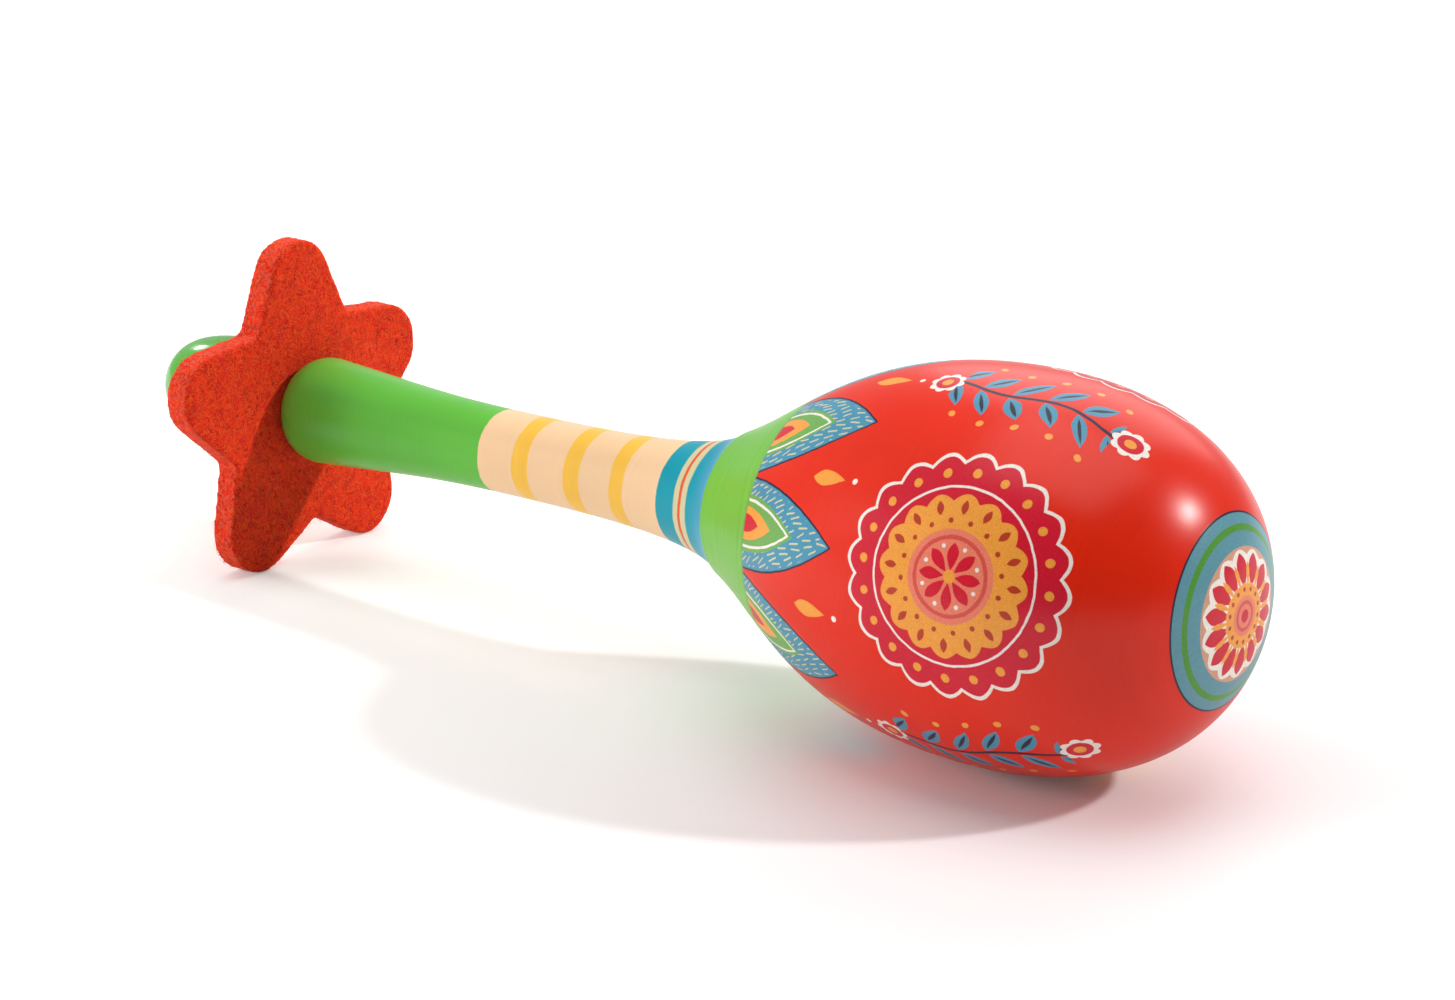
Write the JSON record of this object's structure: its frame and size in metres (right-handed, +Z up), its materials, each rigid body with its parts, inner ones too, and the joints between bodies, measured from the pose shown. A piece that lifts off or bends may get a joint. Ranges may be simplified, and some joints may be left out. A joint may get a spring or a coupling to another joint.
{
  "type": "maraca",
  "caption": "Small painted wooden maraca: a hollow egg-shaped head of loose beads on a turned handle, with a thick felt flower and a domed knob at the butt.",
  "frame": {"origin": "on the surface that the maraca lies on, under the middle of its length", "axes": "+X along the maraca from the knob and flower to the nose of the head, +Z up; the maraca's own axis rises 1.1 degrees towards the nose, because it lies on its belly and two petals"},
  "size_m": [0.2122, 0.0572, 0.0572],
  "materials": {
    "head_lacquer": "turned wood under red and green satin lacquer with printed ornament",
    "handle_lacquer": "turned wood under green, cream, yellow and blue satin lacquer in bands",
    "knob_lacquer": "turned wood under green gloss lacquer",
    "wool_felt": "thick mottled red and orange wool felt, fuzzy, die-cut",
    "bare_beech": "bare beech"
  },
  "bodies": {
    "maraca": {"head_rear_half": "head_lacquer", "head_front_half": "head_lacquer", "handle": "handle_lacquer", "felt_flower": "wool_felt", "end_knob": "knob_lacquer", "dowel": "bare_beech"},
    "bead_01": {"bead_01": "bare_beech"},
    "bead_02": {"bead_02": "bare_beech"},
    "bead_03": {"bead_03": "bare_beech"},
    "bead_04": {"bead_04": "bare_beech"},
    "bead_05": {"bead_05": "bare_beech"},
    "bead_06": {"bead_06": "bare_beech"},
    "bead_07": {"bead_07": "bare_beech"},
    "bead_08": {"bead_08": "bare_beech"},
    "bead_09": {"bead_09": "bare_beech"},
    "bead_10": {"bead_10": "bare_beech"},
    "bead_11": {"bead_11": "bare_beech"},
    "bead_12": {"bead_12": "bare_beech"},
    "bead_13": {"bead_13": "bare_beech"},
    "bead_14": {"bead_14": "bare_beech"},
    "bead_15": {"bead_15": "bare_beech"},
    "bead_16": {"bead_16": "bare_beech"},
    "bead_17": {"bead_17": "bare_beech"},
    "bead_18": {"bead_18": "bare_beech"},
    "bead_19": {"bead_19": "bare_beech"}
  },
  "joints": [
    {"name": "bead_01_throw", "type": "slide", "parent": "maraca", "child": "bead_01", "axis": [-0.0198, 0, 0.9998], "range_m": [0, 0.033]},
    {"name": "bead_02_throw", "type": "slide", "parent": "maraca", "child": "bead_02", "axis": [-0.0198, 0, 0.9998], "range_m": [0, 0.03353]},
    {"name": "bead_03_throw", "type": "slide", "parent": "maraca", "child": "bead_03", "axis": [-0.0198, 0, 0.9998], "range_m": [0, 0.03279]},
    {"name": "bead_04_throw", "type": "slide", "parent": "maraca", "child": "bead_04", "axis": [-0.0198, 0, 0.9998], "range_m": [0, 0.0374]},
    {"name": "bead_05_throw", "type": "slide", "parent": "maraca", "child": "bead_05", "axis": [-0.0198, 0, 0.9998], "range_m": [0, 0.03855]},
    {"name": "bead_06_throw", "type": "slide", "parent": "maraca", "child": "bead_06", "axis": [-0.0198, 0, 0.9998], "range_m": [0, 0.0385]},
    {"name": "bead_07_throw", "type": "slide", "parent": "maraca", "child": "bead_07", "axis": [-0.0198, 0, 0.9998], "range_m": [0, 0.03701]},
    {"name": "bead_08_throw", "type": "slide", "parent": "maraca", "child": "bead_08", "axis": [-0.0198, 0, 0.9998], "range_m": [0, 0.03775]},
    {"name": "bead_09_throw", "type": "slide", "parent": "maraca", "child": "bead_09", "axis": [-0.0198, 0, 0.9998], "range_m": [0, 0.03975]},
    {"name": "bead_10_throw", "type": "slide", "parent": "maraca", "child": "bead_10", "axis": [-0.0198, 0, 0.9998], "range_m": [0, 0.0402]},
    {"name": "bead_11_throw", "type": "slide", "parent": "maraca", "child": "bead_11", "axis": [-0.0198, 0, 0.9998], "range_m": [0, 0.03958]},
    {"name": "bead_12_throw", "type": "slide", "parent": "maraca", "child": "bead_12", "axis": [-0.0198, 0, 0.9998], "range_m": [0, 0.03713]},
    {"name": "bead_13_throw", "type": "slide", "parent": "maraca", "child": "bead_13", "axis": [-0.0198, 0, 0.9998], "range_m": [0, 0.0374]},
    {"name": "bead_14_throw", "type": "slide", "parent": "maraca", "child": "bead_14", "axis": [-0.0198, 0, 0.9998], "range_m": [0, 0.03855]},
    {"name": "bead_15_throw", "type": "slide", "parent": "maraca", "child": "bead_15", "axis": [-0.0198, 0, 0.9998], "range_m": [0, 0.0385]},
    {"name": "bead_16_throw", "type": "slide", "parent": "maraca", "child": "bead_16", "axis": [-0.0198, 0, 0.9998], "range_m": [0, 0.03701]},
    {"name": "bead_17_throw", "type": "slide", "parent": "maraca", "child": "bead_17", "axis": [-0.0198, 0, 0.9998], "range_m": [0, 0.033]},
    {"name": "bead_18_throw", "type": "slide", "parent": "maraca", "child": "bead_18", "axis": [-0.0198, 0, 0.9998], "range_m": [0, 0.03353]},
    {"name": "bead_19_throw", "type": "slide", "parent": "maraca", "child": "bead_19", "axis": [-0.0198, 0, 0.9998], "range_m": [0, 0.03279]}
  ]
}
